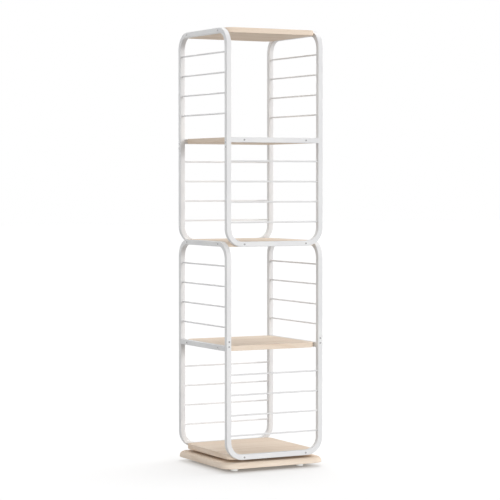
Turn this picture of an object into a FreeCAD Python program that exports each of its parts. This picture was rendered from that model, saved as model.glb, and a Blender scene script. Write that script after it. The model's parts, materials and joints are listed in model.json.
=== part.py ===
import FreeCAD, Part
import math
import os

# A four-tier revolving bookcase: wood-effect boards held in bent square-tube frames,
# on a ball-bearing swivel over a footed base board.
# Millimetres, +Z up. The origin is on the floor, under the turning axis.
# The tower is two alike modules. In each, a pair of closed frames (a U of tube with a bar
# across its mouth) carries a shelf, and a pair of open U frames plugs into their legs.

# Square tube of the frames
FRAME_SIDE = 340.0
TUBE_SIDE = 16.0
TUBE_WALL = 1.2
TUBE_CORNER = 1.6
TUBE_BORE_CORNER = 0.4
BEND_RADIUS = 48.0

# Rods across each frame
ROD_DIAMETER = 5.0
ROD_PITCH = 63.0
ROD_COUNT = 4
ROD_MARGIN = 67.5
BAR_MARGIN = 65.5
OPEN_FRAME_EXTRA = 16.0

# Boards that fill the frames
BOARD_THICKNESS = 16.0
BOARD_CORNER = 25.0
BOARD_ROUND = 1.0

# Base board and feet
BASE_SIDE = 356.0
BASE_THICKNESS = 18.0
BASE_CORNER = 40.0
BASE_EDGE_LAND = 3.0
BASE_BOTTOM_ROUND = 1.0
ACCESS_HOLE_DIAMETER = 16.0
FOOT_HEIGHT = 14.0
FOOT_TOP_DIAMETER = 24.0
FOOT_BOTTOM_DIAMETER = 22.0
FOOT_ROUND = 1.5
FOOT_INSET = 61.0
FOOT_FLOOR = 6.0

# Inner sleeves that join the legs of two frames
SPIGOT_WALL = 2.0
SPIGOT_REACH = 25.0
SPIGOT_CLEARANCE = 0.1

# Frame screws: board screws run through a tube into a board edge, joint screws hold the sleeves
FRAME_SCREW_DIAMETER = 4.0
FRAME_HEAD_DIAMETER = 7.0
FRAME_HEAD_HEIGHT = 1.8
FRAME_SOCKET = 3.0
FRAME_SOCKET_DEPTH = 1.2
BOARD_SCREW_BITE = 25.0
BOARD_SCREW_FROM_BEND = 5.0
JOINT_SCREW_LENGTH = 9.0
JOINT_SCREW_FIRST = 15.0
JOINT_SCREW_PITCH = 15.0
JOINT_SCREW_COUNT = 2

# Shape of every screw's head
HEAD_RIM = 0.7
HEAD_LAND = 0.5

# Wood screws of the feet and the swivel
WOOD_SCREW_DIAMETER = 3.5
WOOD_HEAD_DIAMETER = 7.0
WOOD_HEAD_HEIGHT = 1.8
WOOD_SOCKET = 2.0
WOOD_SOCKET_DEPTH = 1.0
WOOD_SCREW_BITE = 11.0

# Ball-bearing swivel between base board and bottom shelf
PLATE_SIDE = 140.0
PLATE_CORNER = 14.0
PLATE_SHEET = 1.6
PLATE_SCREW_INSET = 12.0
BALL_DIAMETER = 5.0
BALL_COUNT = 24
BALL_RING_RADIUS = 45.0
BALL_PLAY = 0.15
GROOVE_DEPTH = 0.25
CAGE_WIDTH = 8.0
CAGE_THICKNESS = 1.5
RIVET_DIAMETER = 12.0
RIVET_BORE = 8.0
RIVET_FLANGE_WIDTH = 4.0
RIVET_FLANGE_THICKNESS = 1.5
RIVET_END_PLAY = 0.3

# Fits
SCREW_CLEARANCE = 0.05
RUNNING_CLEARANCE = 0.08
POCKET_CLEARANCE = 1.0

# Sizes that follow from those above
LEG = (FRAME_SIDE - TUBE_SIDE) / 2
CLEAR_SPAN = FRAME_SIDE - 2 * TUBE_SIDE
CLOSED_RISE = ROD_MARGIN + (ROD_COUNT - 1) * ROD_PITCH + BAR_MARGIN
OPEN_RISE = CLOSED_RISE + OPEN_FRAME_EXTRA
CLOSED_LEG = CLOSED_RISE + TUBE_SIDE / 2
OPEN_LEG = OPEN_RISE - TUBE_SIDE / 2
BOARD_SCREW_X = LEG - BEND_RADIUS - BOARD_SCREW_FROM_BEND
JOINT_GRIP = 2 * JOINT_SCREW_FIRST + (JOINT_SCREW_COUNT - 1) * JOINT_SCREW_PITCH
TUBE_BORE = TUBE_SIDE - 2 * TUBE_WALL
RACE_RADIUS = BALL_DIAMETER / 2 + BALL_PLAY
HALF_PLATE_GAP = RACE_RADIUS - GROOVE_DEPTH
BASE_TOP_ROUND = BASE_THICKNESS - BASE_BOTTOM_ROUND - BASE_EDGE_LAND
FOOT_CENTRE = BASE_SIDE / 2 - FOOT_INSET
PLATE_SCREW_PLACE = PLATE_SIDE / 2 - PLATE_SCREW_INSET
RIVET_FLANGE_DIAMETER = RIVET_DIAMETER + 2 * RIVET_FLANGE_WIDTH
RIVET_POCKET_DIAMETER = RIVET_FLANGE_DIAMETER + 2 * POCKET_CLEARANCE
RIVET_POCKET_DEPTH = RIVET_FLANGE_THICKNESS + RIVET_END_PLAY + POCKET_CLEARANCE

# Levels, from the floor up
BASE_BOTTOM = FOOT_HEIGHT
BASE_TOP = BASE_BOTTOM + BASE_THICKNESS
BALL_LEVEL = BASE_TOP + PLATE_SHEET + HALF_PLATE_GAP
SWIVEL_TOP = BALL_LEVEL + HALF_PLATE_GAP + PLATE_SHEET
BOTTOM_LEVEL = SWIVEL_TOP + BOARD_THICKNESS / 2
LOWER_LEVEL = BOTTOM_LEVEL + OPEN_RISE
MIDDLE_LEVEL = LOWER_LEVEL + CLOSED_RISE
UPPER_LEVEL = MIDDLE_LEVEL + CLOSED_RISE
TOP_LEVEL = UPPER_LEVEL + OPEN_RISE

ORIGIN = FreeCAD.Vector(0, 0, 0)
X_AXIS = FreeCAD.Vector(1, 0, 0)
Y_AXIS = FreeCAD.Vector(0, 1, 0)
Z_AXIS = FreeCAD.Vector(0, 0, 1)
SIXTH_TURN = 60
QUARTER_TURN = 90
HALF_TURN = 180
FULL_TURN = 360
SIDE_TURNS = {"front": 0, "right": 90, "back": 180, "left": 270}
BOTH_WAYS = (-1, 1)
SAME_LEVEL = 1e-6


def at(x, y, z):
    return FreeCAD.Vector(x, y, z)


def rounded_rectangle(side, corner):
    """A square wire in the XY plane, centred on the origin, with arcs at its corners."""
    half = side / 2
    flat = half - corner
    arc_middle = flat + corner * math.sqrt(0.5)
    edges = []
    for turn in range(4):
        rotation = FreeCAD.Rotation(Z_AXIS, QUARTER_TURN * turn)
        run_start = rotation.multVec(at(half, -flat, 0))
        run_end = rotation.multVec(at(half, flat, 0))
        middle = rotation.multVec(at(arc_middle, arc_middle, 0))
        arc_end = rotation.multVec(at(flat, half, 0))
        edges.append(Part.LineSegment(run_start, run_end).toShape())
        edges.append(Part.Arc(run_end, middle, arc_end).toShape())
    return Part.Wire(edges)


def plate(side, corner, bottom, thickness):
    """A square plate with rounded corners."""
    face = Part.Face(rounded_rectangle(side, corner))
    face.translate(at(0, 0, bottom))
    return face.extrude(at(0, 0, thickness))


def round_rim(solid, level, radius):
    """Rounds the edges of a solid that lie at one level."""
    rim = [edge for edge in solid.Edges
           if all(abs(vertex.Z - level) < SAME_LEVEL for vertex in edge.Vertexes)]
    return solid.makeFillet(radius, rim)


def cylinder(diameter, start, direction, length):
    return Part.makeCylinder(diameter / 2, length, start, direction)


def cut_all(solid, tools):
    return solid.cut(Part.makeCompound(tools))


def screw(shank, length, head, head_height, socket, socket_depth):
    """A domed socket-head screw: its head stands on z = 0 and its shank runs down."""
    corner = at(socket / math.sqrt(3), 0, head_height)
    land = corner.x + HEAD_LAND
    profile = [at(0, 0, -length), at(shank / 2, 0, -length), at(shank / 2, 0, 0), at(head / 2, 0, 0),
               at(head / 2, 0, HEAD_RIM), at(land, 0, head_height), at(0, 0, head_height)]
    body = Part.Face(Part.makePolygon(profile + profile[:1])).revolve(ORIGIN, Z_AXIS, FULL_TURN)
    corners = [FreeCAD.Rotation(Z_AXIS, SIXTH_TURN * i).multVec(corner) for i in range(6)]
    hexagon = Part.Face(Part.makePolygon(corners + corners[:1]))
    return body.cut(hexagon.extrude(at(0, 0, -socket_depth)))


def stand(shape, place, direction):
    """A copy of a shape with its +Z turned to a direction and its origin moved to a place."""
    turned = shape.copy()
    turned.Placement = FreeCAD.Placement(place, FreeCAD.Rotation(Z_AXIS, direction))
    return turned


# A frame is drawn lying in the XZ plane with its tube's closed side along X at z = 0,
# its legs up and the outside of the bookcase towards -Y. on_side puts it in its place.

def on_side(shape, side, level, inverted):
    placed = shape.copy()
    placed.translate(at(0, -LEG, 0))
    if inverted:
        placed.rotate(ORIGIN, Y_AXIS, HALF_TURN)
    placed.rotate(ORIGIN, Z_AXIS, SIDE_TURNS[side])
    placed.translate(at(0, 0, level))
    return placed


def tube_ring():
    outer = Part.Face(rounded_rectangle(TUBE_SIDE, TUBE_CORNER))
    inner = Part.Face(rounded_rectangle(TUBE_BORE, TUBE_BORE_CORNER))
    return outer.cut(inner).Faces[0]


def board_screw_holes(level):
    """Holes for the screws that run through a tube or bar into the board behind it."""
    diameter = FRAME_SCREW_DIAMETER + 2 * SCREW_CLEARANCE
    length = TUBE_SIDE + BOARD_SCREW_BITE + SCREW_CLEARANCE
    return [cylinder(diameter, at(way * BOARD_SCREW_X, -TUBE_SIDE / 2, level), Y_AXIS, length)
            for way in BOTH_WAYS]


def joint_screw_levels():
    return [CLOSED_LEG - JOINT_SCREW_FIRST - i * JOINT_SCREW_PITCH for i in range(JOINT_SCREW_COUNT)]


def joint_screw_holes():
    diameter = FRAME_SCREW_DIAMETER + 2 * SCREW_CLEARANCE
    return [cylinder(diameter, at(way * (LEG + TUBE_SIDE / 2), 0, level), X_AXIS * -way, JOINT_SCREW_LENGTH)
            for way in BOTH_WAYS for level in joint_screw_levels()]


def u_tube(leg_length):
    """A hollow square tube bent into a U, with the holes for its board's screws."""
    ring = tube_ring()
    ring.translate(at(LEG, 0, BEND_RADIUS))
    leg = ring.extrude(at(0, 0, leg_length - BEND_RADIUS))
    bend = ring.revolve(at(LEG - BEND_RADIUS, 0, BEND_RADIUS), Y_AXIS, QUARTER_TURN)
    cross = tube_ring()
    cross.rotate(ORIGIN, Y_AXIS, QUARTER_TURN)
    cross.translate(at(BEND_RADIUS - LEG, 0, 0))
    run = cross.extrude(at(2 * (LEG - BEND_RADIUS), 0, 0))
    tube = run
    for piece in (leg, bend):
        tube = tube.fuse([piece, piece.mirror(ORIGIN, X_AXIS)])
    return cut_all(tube.removeSplitter(), board_screw_holes(0))


def closed_tube():
    return cut_all(u_tube(CLOSED_LEG), joint_screw_holes())


def closing_bar():
    """The straight tube across the mouth of a closed frame."""
    ring = tube_ring()
    ring.rotate(ORIGIN, Y_AXIS, QUARTER_TURN)
    ring.translate(at(-CLEAR_SPAN / 2, 0, CLOSED_RISE))
    bar = ring.extrude(at(CLEAR_SPAN, 0, 0))
    return cut_all(bar, board_screw_holes(CLOSED_RISE))


def frame_rods():
    return [cylinder(ROD_DIAMETER, at(-CLEAR_SPAN / 2, 0, ROD_MARGIN + i * ROD_PITCH), X_AXIS, CLEAR_SPAN)
            for i in range(ROD_COUNT)]


def joint_spigots():
    """The sleeves that join a closed frame's two legs to the open frames beyond them."""
    side = TUBE_BORE - 2 * SPIGOT_CLEARANCE
    bore = Part.Face(Part.Wire(Part.makeCircle(side / 2 - SPIGOT_WALL)))
    ring = Part.Face(rounded_rectangle(side, TUBE_BORE_CORNER)).cut(bore).Faces[0]
    sleeves = []
    for way in BOTH_WAYS:
        sleeve = ring.extrude(at(0, 0, JOINT_GRIP + SPIGOT_REACH))
        sleeve.translate(at(way * LEG, 0, CLOSED_LEG - JOINT_GRIP))
        sleeves.append(cut_all(sleeve, joint_screw_holes()))
    return sleeves


def frame_screw(length):
    return screw(FRAME_SCREW_DIAMETER, length, FRAME_HEAD_DIAMETER, FRAME_HEAD_HEIGHT,
                 FRAME_SOCKET, FRAME_SOCKET_DEPTH)


def board_screws(level):
    body = frame_screw(TUBE_SIDE + BOARD_SCREW_BITE)
    return [stand(body, at(way * BOARD_SCREW_X, -TUBE_SIDE / 2, level), Y_AXIS * -1) for way in BOTH_WAYS]


def joint_screws():
    body = frame_screw(JOINT_SCREW_LENGTH)
    return [stand(body, at(way * (LEG + TUBE_SIDE / 2), 0, level), X_AXIS * way)
            for way in BOTH_WAYS for level in joint_screw_levels()]


def board(level, screw_holes):
    """A shelf board with rounded corners and eased edges, drilled for its screws."""
    slab = plate(CLEAR_SPAN, BOARD_CORNER, level - BOARD_THICKNESS / 2, BOARD_THICKNESS)
    slab = round_rim(slab, level - BOARD_THICKNESS / 2, BOARD_ROUND)
    slab = round_rim(slab, level + BOARD_THICKNESS / 2, BOARD_ROUND)
    return cut_all(slab, screw_holes)


def holes_on_sides(sides, level):
    return [on_side(hole, side, level, False) for side in sides for hole in board_screw_holes(0)]


def corner_places(distance):
    return [(x * distance, y * distance) for x in BOTH_WAYS for y in BOTH_WAYS]


def wood_screw(grip):
    return screw(WOOD_SCREW_DIAMETER, grip + WOOD_SCREW_BITE, WOOD_HEAD_DIAMETER, WOOD_HEAD_HEIGHT,
                 WOOD_SOCKET, WOOD_SOCKET_DEPTH)


def wood_screw_holes(places, level, direction, depth):
    diameter = WOOD_SCREW_DIAMETER + 2 * SCREW_CLEARANCE
    return [cylinder(diameter, at(x, y, level), direction, depth) for x, y in places]


def foot(x, y):
    """A tapered pad with a recess under it for its screw's head."""
    pad = Part.makeCone(FOOT_BOTTOM_DIAMETER / 2, FOOT_TOP_DIAMETER / 2, FOOT_HEIGHT)
    pad = round_rim(pad, 0, FOOT_ROUND)
    recess = cylinder(WOOD_HEAD_DIAMETER + 2 * POCKET_CLEARANCE, ORIGIN, Z_AXIS, FOOT_HEIGHT - FOOT_FLOOR)
    pad = cut_all(pad, [recess] + wood_screw_holes([(0, 0)], 0, Z_AXIS, FOOT_HEIGHT))
    pad.translate(at(x, y, 0))
    return pad


def base_board():
    """The board that stands on the feet, rounded from its top down to a narrow upright edge."""
    slab = plate(BASE_SIDE, BASE_CORNER, BASE_BOTTOM, BASE_THICKNESS)
    slab = round_rim(slab, BASE_TOP, BASE_TOP_ROUND)
    slab = round_rim(slab, BASE_BOTTOM, BASE_BOTTOM_ROUND)
    depth = WOOD_SCREW_BITE + SCREW_CLEARANCE
    holes = wood_screw_holes(corner_places(FOOT_CENTRE), BASE_BOTTOM, Z_AXIS, depth)
    holes += wood_screw_holes(corner_places(PLATE_SCREW_PLACE), BASE_TOP, Z_AXIS * -1, depth)
    holes.append(cylinder(RIVET_POCKET_DIAMETER, at(0, 0, BASE_TOP), Z_AXIS * -1, RIVET_POCKET_DEPTH))
    # The upper plate's screws are driven through this hole, each as it comes round.
    access_radius = PLATE_SCREW_PLACE * math.sqrt(2)
    holes.append(cylinder(ACCESS_HOLE_DIAMETER, at(access_radius, 0, BASE_BOTTOM), Z_AXIS, BASE_THICKNESS))
    return cut_all(slab, holes)


def bottom_shelf():
    depth = WOOD_SCREW_BITE + SCREW_CLEARANCE
    underside = SWIVEL_TOP
    holes = holes_on_sides(("front", "back"), BOTTOM_LEVEL)
    holes += wood_screw_holes(corner_places(PLATE_SCREW_PLACE), underside, Z_AXIS, depth)
    holes.append(cylinder(RIVET_POCKET_DIAMETER, at(0, 0, underside), Z_AXIS, RIVET_POCKET_DEPTH))
    return board(BOTTOM_LEVEL, holes)


def race_plate(bottom, rivet_clearance):
    """One of the swivel's two square plates, with half of the balls' track in it."""
    sheet = plate(PLATE_SIDE, PLATE_CORNER, bottom, PLATE_SHEET)
    track = Part.makeTorus(BALL_RING_RADIUS, RACE_RADIUS, at(0, 0, BALL_LEVEL), Z_AXIS)
    rivet_hole = cylinder(RIVET_DIAMETER + 2 * rivet_clearance, at(0, 0, bottom), Z_AXIS, PLATE_SHEET)
    screw_holes = wood_screw_holes(corner_places(PLATE_SCREW_PLACE), bottom, Z_AXIS, PLATE_SHEET)
    return cut_all(sheet, [track, rivet_hole] + screw_holes)


def ball_places():
    ring = at(BALL_RING_RADIUS, 0, BALL_LEVEL)
    return [FreeCAD.Rotation(Z_AXIS, FULL_TURN * i / BALL_COUNT).multVec(ring) for i in range(BALL_COUNT)]


def balls():
    return [Part.makeSphere(BALL_DIAMETER / 2, place) for place in ball_places()]


def ball_cage():
    low = at(0, 0, BALL_LEVEL - CAGE_THICKNESS / 2)
    ring = cylinder(2 * BALL_RING_RADIUS + CAGE_WIDTH, low, Z_AXIS, CAGE_THICKNESS)
    middle = cylinder(2 * BALL_RING_RADIUS - CAGE_WIDTH, low, Z_AXIS, CAGE_THICKNESS)
    down = at(0, 0, -CAGE_THICKNESS / 2)
    seats = [cylinder(2 * RACE_RADIUS, place + down, Z_AXIS, CAGE_THICKNESS) for place in ball_places()]
    return cut_all(ring, [middle] + seats)


def rivet():
    """The hollow rivet that keeps the plates together; the upper plate turns on it."""
    barrel_bottom = BASE_TOP - RIVET_FLANGE_THICKNESS
    barrel_top = SWIVEL_TOP + RIVET_END_PLAY + RIVET_FLANGE_THICKNESS
    barrel = cylinder(RIVET_DIAMETER, at(0, 0, barrel_bottom), Z_AXIS, barrel_top - barrel_bottom)
    flanges = [cylinder(RIVET_FLANGE_DIAMETER, at(0, 0, level), Z_AXIS, RIVET_FLANGE_THICKNESS)
               for level in (barrel_bottom, SWIVEL_TOP + RIVET_END_PLAY)]
    bore = cylinder(RIVET_BORE, at(0, 0, barrel_bottom), Z_AXIS, barrel_top - barrel_bottom)
    return barrel.fuse(flanges).removeSplitter().cut(bore)


def plate_screws(level, direction):
    body = wood_screw(PLATE_SHEET)
    return [stand(body, at(x, y, level), direction) for x, y in corner_places(PLATE_SCREW_PLACE)]


def foot_screws():
    body = wood_screw(FOOT_FLOOR)
    head_seat = FOOT_HEIGHT - FOOT_FLOOR
    return [stand(body, at(x, y, head_seat), Z_AXIS * -1) for x, y in corner_places(FOOT_CENTRE)]


def frame_pair(nodes, tier, sides, level, inverted, closed):
    """Adds the tubes, rods and, on closed frames, bars of the two alike frames of one tier."""
    tube = closed_tube() if closed else u_tube(OPEN_LEG)
    for side in sides:
        nodes[f"{tier}_{side}_tube"] = [on_side(tube, side, level, inverted)]
        nodes[f"{tier}_{side}_rods"] = [on_side(rod, side, level, inverted) for rod in frame_rods()]
        if closed:
            nodes[f"{tier}_{side}_bar"] = [on_side(closing_bar(), side, level, inverted)]


def joint_pieces(nodes, module, sides, inverted):
    """Adds the sleeves and screws of one module's four leg joints."""
    for kind, pieces in (("spigots", joint_spigots()), ("screws", joint_screws())):
        nodes[f"{module}_joint_{kind}"] = [on_side(piece, side, MIDDLE_LEVEL, inverted)
                                           for side in sides for piece in pieces]


def screws_on_sides(sides, level):
    return [on_side(piece, side, level, False) for side in sides for piece in board_screws(0)]


def bookcase():
    ends = ("left", "right")
    faces = ("front", "back")
    nodes = {}

    nodes["base_board"] = [base_board()]
    nodes["base_feet"] = [foot(x, y) for x, y in corner_places(FOOT_CENTRE)]
    nodes["foot_screws"] = foot_screws()

    nodes["swivel_lower_plate"] = [race_plate(BASE_TOP, SCREW_CLEARANCE)]
    nodes["swivel_upper_plate"] = [race_plate(SWIVEL_TOP - PLATE_SHEET, RUNNING_CLEARANCE)]
    nodes["swivel_balls"] = balls()
    nodes["swivel_ball_cage"] = [ball_cage()]
    nodes["swivel_rivet"] = [rivet()]
    nodes["swivel_base_screws"] = plate_screws(BASE_TOP + PLATE_SHEET, Z_AXIS)
    nodes["swivel_shelf_screws"] = plate_screws(SWIVEL_TOP - PLATE_SHEET, Z_AXIS * -1)

    frame_pair(nodes, "bottom", faces, BOTTOM_LEVEL, inverted=False, closed=False)
    frame_pair(nodes, "lower", ends, MIDDLE_LEVEL, inverted=True, closed=True)
    frame_pair(nodes, "upper", faces, MIDDLE_LEVEL, inverted=False, closed=True)
    frame_pair(nodes, "top", ends, TOP_LEVEL, inverted=True, closed=False)
    joint_pieces(nodes, "lower", ends, inverted=True)
    joint_pieces(nodes, "upper", faces, inverted=False)

    nodes["bottom_shelf"] = [bottom_shelf()]
    nodes["bottom_shelf_screws"] = screws_on_sides(faces, BOTTOM_LEVEL)
    other_boards = (("lower_shelf", LOWER_LEVEL, ends), ("middle_shelf", MIDDLE_LEVEL, faces + ends),
                    ("upper_shelf", UPPER_LEVEL, faces), ("top_board", TOP_LEVEL, ends))
    for name, level, sides in other_boards:
        nodes[name] = [board(level, holes_on_sides(sides, level))]
        nodes[f"{name}_screws"] = screws_on_sides(sides, level)
    return nodes


def main():
    os.makedirs("parts", exist_ok=True)
    for name, solids in bookcase().items():
        shape = solids[0] if len(solids) == 1 else Part.makeCompound(solids)
        shape.exportStep(f"parts/{name}.step")


main()
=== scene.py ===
"""Looks of a revolving bookcase: finishes, weld beads, floor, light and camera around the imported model."""

import json
import math

import bmesh
import bpy
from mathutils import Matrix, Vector


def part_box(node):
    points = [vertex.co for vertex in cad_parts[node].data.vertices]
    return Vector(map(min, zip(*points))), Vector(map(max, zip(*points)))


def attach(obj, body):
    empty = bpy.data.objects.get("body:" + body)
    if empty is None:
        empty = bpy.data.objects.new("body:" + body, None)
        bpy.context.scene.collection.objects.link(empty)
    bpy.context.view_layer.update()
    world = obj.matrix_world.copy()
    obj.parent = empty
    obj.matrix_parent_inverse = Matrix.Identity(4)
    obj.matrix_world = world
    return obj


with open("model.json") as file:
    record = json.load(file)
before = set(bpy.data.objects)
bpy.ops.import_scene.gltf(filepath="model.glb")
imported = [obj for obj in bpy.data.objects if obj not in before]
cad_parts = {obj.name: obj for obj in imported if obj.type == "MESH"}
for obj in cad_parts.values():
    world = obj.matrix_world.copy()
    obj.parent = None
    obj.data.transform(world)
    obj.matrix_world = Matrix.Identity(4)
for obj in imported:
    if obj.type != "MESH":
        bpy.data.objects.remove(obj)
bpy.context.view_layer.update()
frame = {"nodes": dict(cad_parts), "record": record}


def rgb(red, green, blue):
    """A colour in display values from 0 to 255, as the linear values that a shader takes."""
    def linear(value):
        share = value / 255
        return share / 12.92 if share <= 0.04045 else ((share + 0.055) / 1.055) ** 2.4
    return (linear(red), linear(green), linear(blue), 1.0)


# Camera of the photograph, in metres, degrees and millimetres of lens and sensor
CAMERA_PLACE = (-2.8603, -5.3865, 0.905)
CAMERA_YAW = 27.975
CAMERA_PITCH = 2.083
CAMERA_LENS = 137.76
CAMERA_SENSOR = 36.0

# Light: an even surround, a floor that glows a little, a soft lamp low on each of the four sides,
# and a broad one from above and behind. A lamp has the direction that it shines from,
# its level on a face turned to it, and its spread in degrees.
SURROUND_LEVEL = 0.40
LAMPS = {
    "front": ((0.085, -0.99, 0.095), 0.505, 10.0),
    "left": ((-0.99, -0.03, 0.16), 0.16, 24.0),
    "right": ((0.98, 0.00, 0.17), 0.30, 40.0),
    "back": ((0.00, 0.98, 0.17), 0.30, 40.0),
    "overhead": ((0.30, 0.25, 0.92), 0.40, 60.0),
}
BACKDROP_LEVEL = 1.0

# Floor, in metres. Its colour is lifted to white for the eye. Short rays tell how open each spot is: the
# lift grows from none to full between two shares of openness, which paints a shadow under the object, and a
# soft painted shade stays beside the object.
# The glow is what the floor sends up to the object.
FLOOR_SIZE = 60.0
FLOOR_SEEN = (0.55, 0.55, 0.55, 1.0)
FLOOR_LIFT = 0.523
FLOOR_LIFT_REACH = 0.13
FLOOR_LIFT_RAYS = 32
FLOOR_LIFT_OPENNESS = (0.02, 0.11)
FLOOR_SOFT_SHADE = 0.28
FLOOR_GLOW = 0.42

# Welds, in metres. A groove weld runs from a post's round corner, at its start, to the face of a bar,
# at its stop. Its lip, root and bite are shares of the tube's corner.
ROD_COUNT = 4
ROD_WELD_LEG = 0.0016
BAR_WELD_LEG = 0.0022
BAR_WELD_LENGTH = 0.0150
TUBE_CORNER = 0.0016
GROOVE_START = -0.0014
GROOVE_STOP = 0.0013
GROOVE_CROWN = 0.0005
GROOVE_LIP_SHARE = 0.35
GROOVE_ROOT_SHARE = 0.8
GROOVE_BITE_SHARE = 0.07
WELD_ROOT = 0.0003
WELD_ARC_STEPS = 6
WELD_TURN_STEPS = 24
WELD_RUN_STEPS = 24
WELD_END_SHARE = 0.45
WELD_RIPPLE = 0.12
WELD_RIPPLE_PERIOD = 0.0016

# Colours as the eye sees them in plain light
COAT_COLOUR = rgb(234, 234, 234)
COAT_SHADE = rgb(229, 229, 230)
OAK_PALE = rgb(244, 229, 212)
OAK_MID = rgb(237, 219, 200)
OAK_LINE = rgb(225, 203, 180)
OAK_PORE = rgb(205, 180, 153)
PLASTIC_COLOUR = rgb(240, 240, 238)
PLASTIC_SHADE = rgb(233, 233, 231)
ZINC_PALE = rgb(205, 208, 210)
ZINC_DARK = rgb(172, 176, 180)
STEEL_PALE = rgb(214, 214, 216)
STEEL_DARK = rgb(196, 197, 200)
NYLON_PALE = rgb(120, 122, 124)
NYLON_DARK = rgb(106, 108, 110)
SCREW_PALE = rgb(206, 206, 206)
SCREW_DARK = rgb(186, 186, 187)
# Painted shade, put down in the screws' sockets
SOCKET_PAINTED_SHADE = rgb(62, 62, 64)

# Finishes: the detail of a cloudy noise, and the bands of its values that are put to use; noise cells to
# the metre, along all axes or along each one; roughness at both ends of a band; and relief as a depth in
# metres and a strength
CLOUDY = 3.0
NOISE_SPREAD = (0.3, 0.7)
NOISE_MIDDLE = (0.35, 0.65)
COAT_DRIFT_CELLS = 7.0
COAT_PEEL_CELLS = 850.0
COAT_ROUGHNESS = (0.34, 0.44)
COAT_RELIEF = (0.0003, 0.25)
PLASTIC_CLOUD_CELLS = 90.0
PLASTIC_SPARK_CELLS = 2600.0
PLASTIC_ROUGHNESS = (0.4, 0.52)
PLASTIC_RELIEF = (0.0001, 0.3)
ZINC_SPANGLE_CELLS = 110.0
ZINC_ROLLING_CELLS = (14.0, 900.0, 14.0)
ZINC_ROUGHNESS = (0.32, 0.46)
ZINC_RELIEF = (0.00005, 0.3)
STEEL_HAZE_CELLS = 700.0
STEEL_SCUFF_CELLS = (300.0, 4000.0, 900.0)
STEEL_SCUFF_BAND = (0.4, 0.75)
STEEL_ROUGHNESS = (0.1, 0.28)
NYLON_MOTTLE_CELLS = 260.0
NYLON_ROUGHNESS = (0.5, 0.62)
NYLON_RELIEF = (0.0001, 0.2)
SCREW_TARNISH_CELLS = 420.0
SCREW_MARK_CELLS = 5200.0
SCREW_ROUGHNESS = (0.28, 0.42)
SCREW_RELIEF = (0.00003, 0.3)

# Oak: cells along, across and through the grain; the part of each noise that shows as a mark,
# and the share of the marks' colour there
OAK_SPECULAR = 0.25
OAK_FLAT_BAND = (0.6, 0.9)
OAK_FIGURE_CELLS = (1.3, 15.0, 15.0)
OAK_FIGURE_DETAIL = 1.6
OAK_FIGURE_FADE = 0.45
OAK_RINGS = 11.0
OAK_RING_MARKS = (0.55, 1.0, 0.0, 0.55)
OAK_FIBRE_CELLS = (9.0, 620.0, 620.0)
OAK_FIBRE_DETAIL = 4.0
OAK_FIBRE_FADE = 0.6
OAK_FIBRE_MARKS = (0.42, 0.72, 0.0, 0.45)
OAK_PORE_CELLS = (55.0, 1500.0, 1500.0)
OAK_PORE_MARKS = (0.62, 0.72, 0.0, 0.6)
OAK_PORE_HOLLOW = (0.6, 0.72)
OAK_DRIFT_CELLS = (2.0, 7.0, 7.0)
OAK_ROUGHNESS = (0.6, 0.72)
OAK_RELIEF = (0.00012, 0.35)

# Painted shade in the screws' sockets: how deep in metres the sockets are looked into, and how open
# their darkest and their brightest spots are
SOCKET_REACH = 0.004
SOCKET_OPENNESS = (0.45, 0.9)


class Finish:
    """A node material around one principled shader, with short ways to add and join nodes."""

    def __init__(self, name, **sockets):
        self.material = bpy.data.materials.new(name)
        self.material.use_nodes = True
        self.tree = self.material.node_tree
        self.shader = self.tree.nodes["Principled BSDF"]
        for socket, value in sockets.items():
            self.shader.inputs[socket.replace("_", " ")].default_value = value
        coordinates = self.tree.nodes.new("ShaderNodeTexCoord")
        self.place = coordinates.outputs["Object"]
        self.normal = coordinates.outputs["Normal"]

    def join(self, value, socket):
        """A number, a colour or another node's output goes into a socket."""
        if isinstance(value, bpy.types.NodeSocket):
            self.tree.links.new(value, socket)
        else:
            socket.default_value = value

    def node(self, kind, settings=None, **inputs):
        made = self.tree.nodes.new(kind)
        for name, value in (settings or {}).items():
            setattr(made, name, value)
        for name, value in inputs.items():
            self.join(value, made.inputs[name.replace("_", " ")])
        return made

    def math(self, operation, first, second=0.0):
        made = self.node("ShaderNodeMath", {"operation": operation})
        self.join(first, made.inputs[0])
        self.join(second, made.inputs[1])
        return made.outputs[0]

    def stretched(self, place, scale):
        """Coordinates that are stretched by a scale for each axis."""
        made = self.node("ShaderNodeVectorMath", {"operation": "MULTIPLY"})
        self.join(place, made.inputs[0])
        made.inputs[1].default_value = scale
        return made.outputs[0]

    def noise(self, place, scale, detail=2.0, roughness=0.5):
        made = self.node("ShaderNodeTexNoise", Vector=place, Scale=scale, Detail=detail, Roughness=roughness)
        return made.outputs[0]

    def band(self, value, low, high, to_low=0.0, to_high=1.0):
        """A value between low and high spread smoothly over another range."""
        made = self.node("ShaderNodeMapRange", {"interpolation_type": "SMOOTHSTEP"}, Value=value,
                         From_Min=low, From_Max=high, To_Min=to_low, To_Max=to_high)
        return made.outputs[0]

    def mix(self, share, first, second):
        made = self.node("ShaderNodeMix", {"data_type": "RGBA"})
        sockets = {socket.identifier: socket for socket in made.inputs}
        self.join(share, sockets["Factor_Float"])
        self.join(first, sockets["A_Color"])
        self.join(second, sockets["B_Color"])
        return next(socket for socket in made.outputs if socket.identifier == "Result_Color")

    def colour(self, value):
        self.join(value, self.shader.inputs["Base Color"])

    def roughness(self, value):
        self.join(value, self.shader.inputs["Roughness"])

    def relief(self, height, depth, strength):
        """Bumps of a depth in metres."""
        made = self.node("ShaderNodeBump", Strength=strength, Distance=depth, Height=height)
        self.join(made.outputs[0], self.shader.inputs["Normal"])


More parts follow.
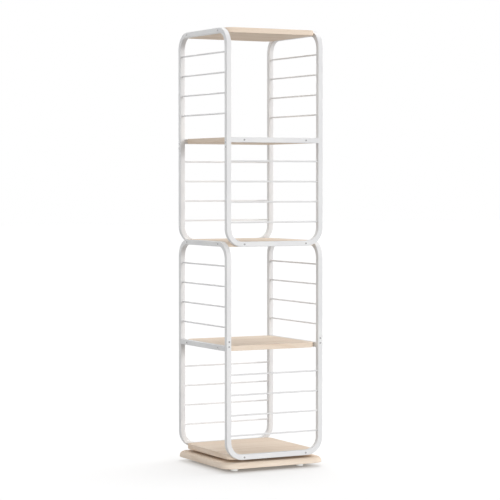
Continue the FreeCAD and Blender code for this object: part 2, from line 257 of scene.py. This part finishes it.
def powder_coat():
    """Satin white powder coat with orange peel and a faint drift of tone."""
    finish = Finish("white_powder_coat")
    drift = finish.noise(finish.place, COAT_DRIFT_CELLS, CLOUDY)
    peel = finish.noise(finish.place, COAT_PEEL_CELLS)
    finish.colour(finish.mix(finish.band(drift, *NOISE_MIDDLE), COAT_COLOUR, COAT_SHADE))
    finish.roughness(finish.band(peel, *NOISE_SPREAD, *COAT_ROUGHNESS))
    finish.relief(peel, *COAT_RELIEF)
    return finish.material


def oak():
    """Pale oak decor: its grain runs along the board, and on the banded edges along the edge."""
    finish = Finish("oak_board", Specular_IOR_Level=OAK_SPECULAR)
    axes = finish.node("ShaderNodeSeparateXYZ", Vector=finish.place)
    facing = finish.node("ShaderNodeSeparateXYZ", Vector=finish.normal)
    round_edge = finish.math("SUBTRACT", axes.outputs["X"], axes.outputs["Y"])
    edge = finish.node("ShaderNodeCombineXYZ", X=round_edge, Y=axes.outputs["Z"])
    flat = finish.band(finish.math("ABSOLUTE", facing.outputs["Z"]), *OAK_FLAT_BAND)
    grain = finish.mix(flat, edge.outputs[0], finish.place)

    figure = finish.noise(finish.stretched(grain, OAK_FIGURE_CELLS), 1.0, OAK_FIGURE_DETAIL, OAK_FIGURE_FADE)
    rings = finish.math("PINGPONG", finish.math("MULTIPLY", figure, OAK_RINGS), 1.0)
    fibres = finish.noise(finish.stretched(grain, OAK_FIBRE_CELLS), 1.0, OAK_FIBRE_DETAIL, OAK_FIBRE_FADE)
    pores = finish.noise(finish.stretched(grain, OAK_PORE_CELLS), 1.0)
    drift = finish.noise(finish.stretched(grain, OAK_DRIFT_CELLS), 1.0)

    tone = finish.mix(finish.band(drift, *NOISE_SPREAD), OAK_PALE, OAK_MID)
    tone = finish.mix(finish.band(rings, *OAK_RING_MARKS), tone, OAK_LINE)
    tone = finish.mix(finish.band(fibres, *OAK_FIBRE_MARKS), tone, OAK_LINE)
    tone = finish.mix(finish.band(pores, *OAK_PORE_MARKS), tone, OAK_PORE)
    finish.colour(tone)
    finish.roughness(finish.band(fibres, *NOISE_SPREAD, *OAK_ROUGHNESS))
    hollows = finish.band(pores, *OAK_PORE_HOLLOW)
    finish.relief(finish.math("SUBTRACT", fibres, hollows), *OAK_RELIEF)
    return finish.material


def plastic():
    """Moulded white plastic with a fine spark texture."""
    finish = Finish("white_plastic")
    cloud = finish.noise(finish.place, PLASTIC_CLOUD_CELLS)
    spark = finish.noise(finish.place, PLASTIC_SPARK_CELLS)
    finish.colour(finish.mix(cloud, PLASTIC_COLOUR, PLASTIC_SHADE))
    finish.roughness(finish.band(spark, *NOISE_SPREAD, *PLASTIC_ROUGHNESS))
    finish.relief(spark, *PLASTIC_RELIEF)
    return finish.material


def zinc():
    """Galvanised sheet: crystal spangle under faint rolling lines."""
    finish = Finish("zinc_sheet", Metallic=1.0)
    spangle = finish.node("ShaderNodeTexVoronoi", Vector=finish.place, Scale=ZINC_SPANGLE_CELLS)
    crystal = finish.node("ShaderNodeSeparateColor", Color=spangle.outputs["Color"]).outputs[0]
    rolled = finish.noise(finish.stretched(finish.place, ZINC_ROLLING_CELLS), 1.0, CLOUDY)
    finish.colour(finish.mix(crystal, ZINC_PALE, ZINC_DARK))
    finish.roughness(finish.band(crystal, 0.0, 1.0, *ZINC_ROUGHNESS))
    finish.relief(rolled, *ZINC_RELIEF)
    return finish.material


def bearing_steel():
    """Polished steel with a haze of fine scuffs."""
    finish = Finish("bearing_steel", Metallic=1.0)
    haze = finish.noise(finish.place, STEEL_HAZE_CELLS, CLOUDY)
    scuffs = finish.noise(finish.stretched(finish.place, STEEL_SCUFF_CELLS), 1.0)
    finish.colour(finish.mix(haze, STEEL_PALE, STEEL_DARK))
    finish.roughness(finish.band(scuffs, *STEEL_SCUFF_BAND, *STEEL_ROUGHNESS))
    return finish.material


def nylon():
    """Grey moulded nylon, mottled and matt."""
    finish = Finish("grey_nylon")
    mottle = finish.noise(finish.place, NYLON_MOTTLE_CELLS, CLOUDY)
    finish.colour(finish.mix(mottle, NYLON_PALE, NYLON_DARK))
    finish.roughness(finish.band(mottle, *NOISE_SPREAD, *NYLON_ROUGHNESS))
    finish.relief(mottle, *NYLON_RELIEF)
    return finish.material


def screw_steel():
    """Nickel-plated screw steel with turning marks, dull and dark down in the sockets with painted shade."""
    finish = Finish("screw_steel", Metallic=1.0)
    tarnish = finish.noise(finish.place, SCREW_TARNISH_CELLS, CLOUDY)
    marks = finish.noise(finish.place, SCREW_MARK_CELLS)
    # Painted shade: the colour turns dark where a socket closes in on itself
    socket_occlusion = finish.node("ShaderNodeAmbientOcclusion", {"only_local": True}, Distance=SOCKET_REACH)
    socket_unshaded = finish.band(socket_occlusion.outputs["AO"], *SOCKET_OPENNESS)
    plating = finish.mix(finish.band(tarnish, *NOISE_MIDDLE), SCREW_PALE, SCREW_DARK)
    finish.colour(finish.mix(socket_unshaded, SOCKET_PAINTED_SHADE, plating))
    finish.roughness(finish.band(marks, *NOISE_SPREAD, *SCREW_ROUGHNESS))
    finish.relief(marks, *SCREW_RELIEF)
    return finish.material


FINISHES = {
    "white_powder_coat": powder_coat(),
    "oak_board": oak(),
    "white_plastic": plastic(),
    "zinc_sheet": zinc(),
    "bearing_steel": bearing_steel(),
    "grey_nylon": nylon(),
    "screw_steel": screw_steel(),
}


def dress_nodes():
    """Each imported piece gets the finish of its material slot."""
    for subpart in frame["record"]["subparts"]:
        piece = frame["nodes"][subpart["node"]]
        for slot in piece.material_slots:
            slot.material = FINISHES[subpart["material_slot"]]


def fillet(leg):
    """Section of a weld, closed: across is measured from the joint along one face, up along the other."""
    arc = []
    for step in range(WELD_ARC_STEPS):
        turn = math.pi / 2 * step / (WELD_ARC_STEPS - 1)
        arc.append((leg * (1 - math.sin(turn)), leg * (1 - math.cos(turn))))
    return arc + [(-WELD_ROOT, leg), (-WELD_ROOT, -WELD_ROOT), (leg, -WELD_ROOT)]


def corner_bead(swell):
    """Section of a weld in the square corner between a post and a bar."""
    return fillet(BAR_WELD_LEG * swell)


def groove(swell):
    """Section of a weld that fills the groove between a post's round corner and a bar's end, closed."""
    start, stop = GROOVE_START * swell, GROOVE_STOP * swell
    sunk = math.sqrt(TUBE_CORNER ** 2 - (TUBE_CORNER + start) ** 2) - TUBE_CORNER
    crown = []
    for step in range(WELD_ARC_STEPS):
        share = step / (WELD_ARC_STEPS - 1)
        bulge = GROOVE_CROWN * swell * math.sin(math.pi * share)
        crown.append((sunk * (1 - share) + bulge, start + (stop - start) * share))
    lip, root, bite = (TUBE_CORNER * share for share in
                       (GROOVE_LIP_SHARE, GROOVE_ROOT_SHARE, GROOVE_BITE_SHARE))
    return crown + [(-WELD_ROOT, stop), (-lip, 0.0), (-root, -bite), (sunk - WELD_ROOT, start)]


def ripple(run):
    """Share by which a weld swells and shrinks along its run."""
    return 1 + WELD_RIPPLE * math.sin(2 * math.pi * run / WELD_RIPPLE_PERIOD)


def skin_rings(mesh, rings, closed):
    """Faces between rows of points, and at both ends where the run isn't closed."""
    made = [[mesh.verts.new(point) for point in ring] for ring in rings]
    count = len(made)
    for index in range(count if closed else count - 1):
        here, there = made[index], made[(index + 1) % count]
        for corner in range(len(here)):
            after = (corner + 1) % len(here)
            mesh.faces.new((here[corner], here[after], there[after], there[corner]))
    if not closed:
        mesh.faces.new(made[0])
        mesh.faces.new(made[-1])


def rod_weld(mesh, centre, away, radius, phase):
    """A bead round the end of a rod. The rod leaves the tube in the direction away."""
    side = Vector((0, 0, 1))
    other = away.cross(side)
    rings = []
    for step in range(WELD_TURN_STEPS):
        turn = 2 * math.pi * step / WELD_TURN_STEPS
        outward = side * math.cos(turn) + other * math.sin(turn)
        swell = ripple(phase + turn * radius)
        rings.append([centre + outward * (radius + across) + away * up
                      for across, up in fillet(ROD_WELD_LEG * swell)])
    skin_rings(mesh, rings, True)


def corner_drop(past):
    """How far a tube's round corner has fallen away at a distance past the end of a flat face."""
    past = min(max(past, 0.0), TUBE_CORNER)
    return TUBE_CORNER - math.sqrt(TUBE_CORNER ** 2 - past ** 2)


def bar_weld(mesh, centre, away, side, half_flat, section, lean, phase):
    """A bead beside the end of a bar, on the face turned to side, drawn in at its ends.

    Its ends follow the bar's round corners, and with a lean of one the post's as well.
    """
    run_way = away.cross(side)
    rings = []
    for step in range(WELD_RUN_STEPS + 1):
        share = 2 * step / WELD_RUN_STEPS - 1
        run = share * BAR_WELD_LENGTH / 2
        taper = WELD_END_SHARE + (1 - WELD_END_SHARE) * math.sqrt(1 - share * share)
        swell = taper * ripple(phase + run)
        drop = corner_drop(abs(run) - half_flat)
        rings.append([centre + run_way * run + side * (across - drop) + away * (up - lean * drop)
                      for across, up in section(swell)])
    skin_rings(mesh, rings, False)


def add_welds(name, mesh):
    """The beads in one mesh become a coated piece of the tower."""
    bmesh.ops.recalc_face_normals(mesh, faces=mesh.faces)
    data = bpy.data.meshes.new(name)
    mesh.to_mesh(data)
    mesh.free()
    data.materials.append(FINISHES["white_powder_coat"])
    data.shade_smooth()
    piece = bpy.data.objects.new(name, data)
    bpy.context.scene.collection.objects.link(piece)
    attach(piece, "tower")


def run_of(node):
    """A straight piece's long direction, and the box that holds it."""
    low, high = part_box(node)
    way = Vector((1, 0, 0)) if high.x - low.x > high.y - low.y else Vector((0, 1, 0))
    return way, low, high


def weld_rods(node):
    """Beads where each rod of a frame meets its two posts."""
    way, low, high = run_of(node)
    middle, size = (low + high) / 2, high - low
    radius = (size - way * size.dot(way)).xy.length / 2
    pitch = (size.z - 2 * radius) / (ROD_COUNT - 1)
    mesh = bmesh.new()
    for index in range(ROD_COUNT):
        height = low.z + radius + index * pitch
        for end in (-1, 1):
            centre = middle + way * (end * size.dot(way) / 2)
            centre.z = height
            rod_weld(mesh, centre, -way * end, radius, index * radius + end)
    add_welds(node + "_welds", mesh)


def weld_bar(node):
    """Beads on the four faces of a bar where it meets its two posts."""
    way, low, high = run_of(node)
    middle, size = (low + high) / 2, high - low
    depth = size.z
    half_flat = depth / 2 - TUBE_CORNER
    upward = Vector((0, 0, 1))
    outward = way.cross(upward)
    mesh = bmesh.new()
    for end in (-1, 1):
        post = middle + way * (end * size.dot(way) / 2)
        for turn in (-1, 1):
            phase = end + turn * depth
            for side, section, lean in ((upward * turn, corner_bead, 1), (outward * turn, groove, 0)):
                bar_weld(mesh, post + side * (depth / 2), -way * end, side, half_flat, section, lean, phase)
    add_welds(node + "_welds", mesh)


def weld_frames():
    """Beads on all the rods and bars of the tower."""
    for node in frame["nodes"]:
        if node.endswith("_rods"):
            weld_rods(node)
        elif node.endswith("_bar"):
            weld_bar(node)


def rescaled(tree, value, low_high, to_low_high):
    """A value between two numbers spread evenly between two others."""
    made = tree.nodes.new("ShaderNodeMapRange")
    for socket, number in zip(("From Min", "From Max", "To Min", "To Max"), (*low_high, *to_low_high)):
        made.inputs[socket].default_value = number
    tree.links.new(value, made.inputs["Value"])
    return made.outputs[0]


def seen_rays(tree):
    """One for rays that the eye follows: straight, mirrored or through glass."""
    path = tree.nodes.new("ShaderNodeLightPath")
    total = path.outputs["Is Camera Ray"]
    for ray in ("Is Glossy Ray", "Is Transmission Ray"):
        either = tree.nodes.new("ShaderNodeMath")
        either.operation = "MAXIMUM"
        tree.links.new(total, either.inputs[0])
        tree.links.new(path.outputs[ray], either.inputs[1])
        total = either.outputs[0]
    return total


def floor_finish():
    """White to the eye, with the object's shadow and a painted shadow under and beside it, and an even glow
    for the object's underside.
    """
    material = bpy.data.materials.new("studio_floor")
    material.use_nodes = True
    tree = material.node_tree
    tree.nodes.clear()
    seen = tree.nodes.new("ShaderNodeBsdfDiffuse")
    seen.inputs["Color"].default_value = FLOOR_SEEN
    openness = tree.nodes.new("ShaderNodeAmbientOcclusion")
    openness.samples = FLOOR_LIFT_RAYS
    openness.inputs["Distance"].default_value = FLOOR_LIFT_REACH
    share = tree.nodes.new("ShaderNodeMath")
    share.operation = "MULTIPLY"
    # Painted shadow: the lift is held back where the floor is closed in, under the base and beside it
    painted_shadow_under_base = rescaled(tree, openness.outputs["AO"], FLOOR_LIFT_OPENNESS, (0.0, FLOOR_LIFT))
    painted_shade_round_base = rescaled(tree, openness.outputs["AO"], (0.0, 1.0), (1 - FLOOR_SOFT_SHADE, 1.0))
    tree.links.new(painted_shadow_under_base, share.inputs[0])
    tree.links.new(painted_shade_round_base, share.inputs[1])
    lift = tree.nodes.new("ShaderNodeEmission")
    tree.links.new(share.outputs[0], lift.inputs["Strength"])
    shown = tree.nodes.new("ShaderNodeAddShader")
    tree.links.new(seen.outputs[0], shown.inputs[0])
    tree.links.new(lift.outputs[0], shown.inputs[1])
    glow = tree.nodes.new("ShaderNodeEmission")
    glow.inputs["Strength"].default_value = FLOOR_GLOW
    choose = tree.nodes.new("ShaderNodeMixShader")
    tree.links.new(seen_rays(tree), choose.inputs[0])
    tree.links.new(glow.outputs[0], choose.inputs[1])
    tree.links.new(shown.outputs[0], choose.inputs[2])
    output = tree.nodes.new("ShaderNodeOutputMaterial")
    tree.links.new(choose.outputs[0], output.inputs["Surface"])
    return material


def lay_floor():
    """A broad flat floor under the object."""
    mesh = bmesh.new()
    bmesh.ops.create_grid(mesh, x_segments=1, y_segments=1, size=FLOOR_SIZE / 2)
    data = bpy.data.meshes.new("studio_floor")
    mesh.to_mesh(data)
    mesh.free()
    data.materials.append(floor_finish())
    floor = bpy.data.objects.new("studio_floor", data)
    bpy.context.scene.collection.objects.link(floor)


def light_scene():
    """The surround and the lamps, which together light a front face at about one."""
    world = bpy.data.worlds.new("studio_surround")
    bpy.context.scene.world = world
    world.use_nodes = True
    tree = world.node_tree
    background = tree.nodes["Background"]
    background.inputs["Color"].default_value = (1.0, 1.0, 1.0, 1.0)
    level = rescaled(tree, seen_rays(tree), (0.0, 1.0), (SURROUND_LEVEL, BACKDROP_LEVEL))
    tree.links.new(level, background.inputs["Strength"])

    for name, (direction, strength, spread) in LAMPS.items():
        data = bpy.data.lights.new(name, "SUN")
        data.energy = strength * math.pi
        data.angle = math.radians(spread)
        lamp = bpy.data.objects.new(name, data)
        lamp.rotation_euler = Vector(direction).to_track_quat("Z", "Y").to_euler()
        bpy.context.scene.collection.objects.link(lamp)


def place_camera():
    """The camera stands where the photograph was taken from."""
    data = bpy.data.cameras.new("camera")
    data.lens = CAMERA_LENS
    data.sensor_width = CAMERA_SENSOR
    camera = bpy.data.objects.new("camera", data)
    camera.location = CAMERA_PLACE
    camera.rotation_euler = (math.radians(90 - CAMERA_PITCH), 0, -math.radians(CAMERA_YAW))
    bpy.context.scene.collection.objects.link(camera)
    bpy.context.scene.camera = camera


dress_nodes()
weld_frames()
lay_floor()
light_scene()
place_camera()
bpy.context.scene.view_settings.view_transform = "Standard"
